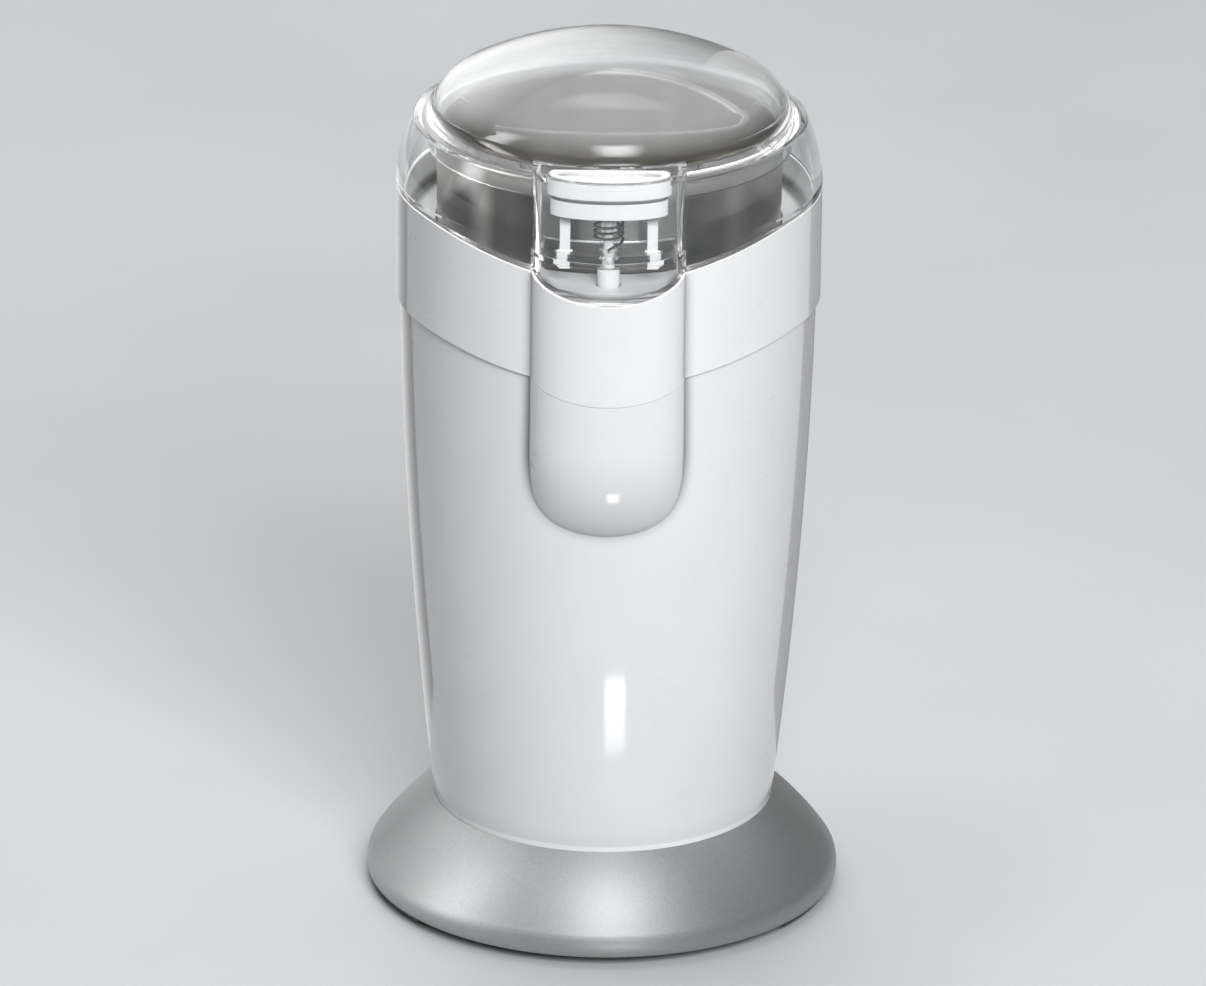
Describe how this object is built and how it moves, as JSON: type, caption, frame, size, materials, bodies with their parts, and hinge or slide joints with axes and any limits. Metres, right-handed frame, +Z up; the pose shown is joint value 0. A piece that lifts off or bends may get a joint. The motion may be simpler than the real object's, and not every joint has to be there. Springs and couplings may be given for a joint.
{
  "type": "electric blade coffee grinder",
  "caption": "Electric blade coffee grinder: flared foot with a cord winder, tapered body, steel bowl and a clear domed lid with a push button.",
  "frame": {"origin": "on the table under the middle of the foot", "axes": "+Z up along the rotor, -Y towards the button column at the front, +X to the right seen from the front"},
  "size_m": [0.1068, 0.1065, 0.1995],
  "materials": {
    "silver_foot": "silver metallic paint",
    "white_body": "light grey white, semi gloss",
    "white_collar": "white, gloss",
    "white_button": "white, gloss",
    "clear_plastic": "clear, polished",
    "bowl_steel": "drawn steel, half polished",
    "blade_steel": "ground",
    "zinc_steel": "zinc plated",
    "spring_steel": "dark spring wire",
    "core_steel": "varnished stack",
    "cast_aluminium": "as cast",
    "bearing_bronze": "plain",
    "copper_wire": "enamelled",
    "dark_plastic": "matt",
    "grey_plastic": "matt",
    "carbon": "matt",
    "capacitor_plastic": "matt",
    "wire_plastic": "matt",
    "black_rubber": "matt"
  },
  "bodies": {
    "base": {"base_cover": "silver_foot", "cord_winder": "dark_plastic", "cord_grommet": "black_rubber", "rubber_feet": "black_rubber", "base_screws": "zinc_steel", "body_housing": "white_body", "collar": "white_collar", "grinding_bowl": "bowl_steel", "bowl_carrier": "grey_plastic", "carrier_screws": "zinc_steel", "shaft_seal": "black_rubber", "upper_bracket": "cast_aluminium", "lower_bracket": "cast_aluminium", "upper_bearing": "bearing_bronze", "lower_bearing": "bearing_bronze", "motor_bolts": "zinc_steel", "motor_cushions": "black_rubber", "stator_core": "core_steel", "field_coils": "copper_wire", "brush_holders": "bearing_bronze", "carbon_brushes": "carbon", "brush_springs": "spring_steel", "suppressor_capacitor": "capacitor_plastic", "lead_wires": "wire_plastic", "switch_bracket": "zinc_steel", "bracket_screws": "zinc_steel", "microswitch": "dark_plastic", "switch_screws": "zinc_steel", "plunger_spring": "spring_steel"},
    "lid": {"lid_shell": "clear_plastic", "button_guide": "clear_plastic", "button_spring": "spring_steel"},
    "button": {"button_cap": "white_button", "button_carrier": "white_button"},
    "plunger": {"switch_plunger": "white_button"},
    "lever": {"switch_lever": "spring_steel"},
    "rotor": {"rotor_shaft": "blade_steel", "armature_core": "core_steel", "armature_winding": "copper_wire", "commutator": "copper_wire", "cooling_fan": "grey_plastic", "blade_spacer": "blade_steel", "cutting_blade": "blade_steel", "blade_nut": "blade_steel"}
  },
  "joints": [
    {"name": "lid_lift", "type": "slide", "parent": "base", "child": "lid", "axis": [0, 0, 1], "range_m": [0, 0.06]},
    {"name": "button_press", "type": "slide", "parent": "lid", "child": "button", "axis": [0, 0, -1], "range_m": [0, 0.003], "stiffness_N_per_m": 500, "springref_m": -0.003, "deforming": ["button_spring"]},
    {"name": "plunger_press", "type": "slide", "parent": "base", "child": "plunger", "axis": [0, 0, -1], "range_m": [0, 0.003], "deforming": ["plunger_spring"]},
    {"name": "lever_swing", "type": "hinge", "parent": "base", "child": "lever", "pos_m": [-0.0085, -0.0441, 0.1249], "axis": [0, 1, 0], "range_deg": [0, 19]},
    {"name": "rotor_spin", "type": "hinge", "parent": "base", "child": "rotor", "pos_m": [0, 0, 0.1], "axis": [0, 0, 1], "continuous": true}
  ],
  "couplings": [
    {"joint": "plunger_press", "follows": "button_press", "ratio": 1},
    {"joint": "lever_swing", "follows": "button_press", "rad_per_m": 108}
  ]
}
